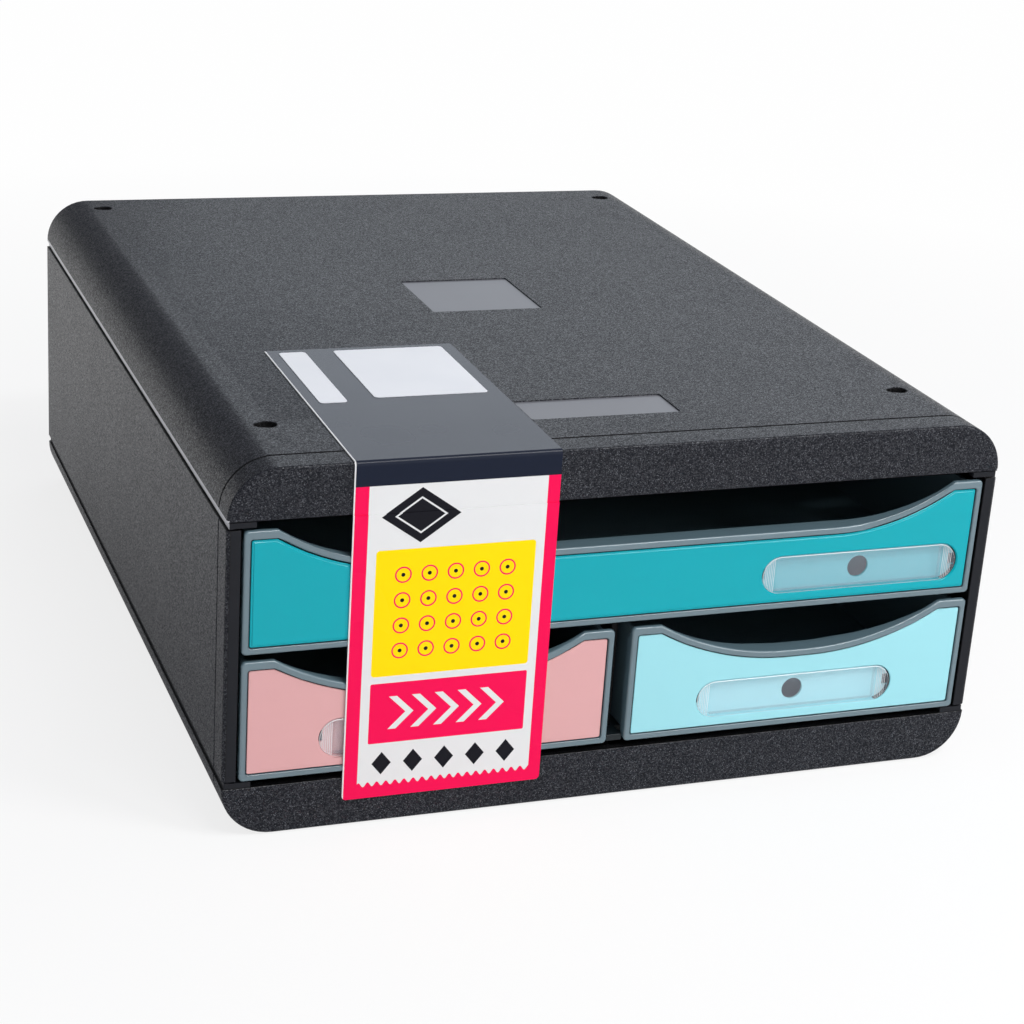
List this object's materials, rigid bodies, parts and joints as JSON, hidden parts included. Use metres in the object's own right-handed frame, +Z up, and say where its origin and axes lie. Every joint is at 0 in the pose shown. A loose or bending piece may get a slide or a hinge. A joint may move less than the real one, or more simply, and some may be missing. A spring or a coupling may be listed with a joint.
{
  "type": "desktop mini drawers",
  "caption": "Low desktop box for small parts with a wide drawer over two narrow ones, finger scoops, label windows and a removable card strip folded over the front.",
  "frame": {"origin": "bottom centre: the middle of the outer box, on the plane of the foot pads", "axes": "+X to the right seen from the front, the drawers face -Y and slide out along -Y, +Z up"},
  "size_m": [0.278, 0.3476, 0.1306],
  "materials": {
    "casing_plastic": "fine textured, matt charcoal",
    "inner_plastic": "matt black",
    "drawer_plastic": "satin slate grey",
    "teal_insert": "smooth satin",
    "pink_insert": "smooth satin",
    "aqua_insert": "smooth satin",
    "clear_cover": "clear",
    "strip_card": "printed and varnished card",
    "sticker_paper": "plain white",
    "foot_rubber": "matt"
  },
  "bodies": {
    "casing": {"top_shell": "casing_plastic", "base_shell": "casing_plastic", "side_panel_left": "casing_plastic", "side_panel_right": "casing_plastic", "back_panel": "casing_plastic", "centre_divider": "inner_plastic", "centre_rail": "drawer_plastic", "foot_front_left": "foot_rubber", "foot_front_right": "foot_rubber", "foot_rear_left": "foot_rubber", "foot_rear_right": "foot_rubber", "strip_top": "strip_card", "small_sticker": "sticker_paper", "large_sticker": "sticker_paper"},
    "upper_drawer": {"upper_tray": "drawer_plastic", "upper_insert": "teal_insert", "upper_label_holder": "clear_cover", "strip_upper": "strip_card"},
    "lower_left_drawer": {"lower_left_tray": "drawer_plastic", "lower_left_insert": "pink_insert", "lower_left_label_holder": "clear_cover", "strip_lower": "strip_card"},
    "lower_right_drawer": {"lower_right_tray": "drawer_plastic", "lower_right_insert": "aqua_insert", "lower_right_label_holder": "clear_cover"}
  },
  "joints": [
    {"name": "upper_drawer_slide", "type": "slide", "parent": "casing", "child": "upper_drawer", "axis": [0, -1, 0], "range_m": [0, 0.25]},
    {"name": "lower_left_drawer_slide", "type": "slide", "parent": "casing", "child": "lower_left_drawer", "axis": [0, -1, 0], "range_m": [0, 0.25]},
    {"name": "lower_right_drawer_slide", "type": "slide", "parent": "casing", "child": "lower_right_drawer", "axis": [0, -1, 0], "range_m": [0, 0.25]}
  ]
}
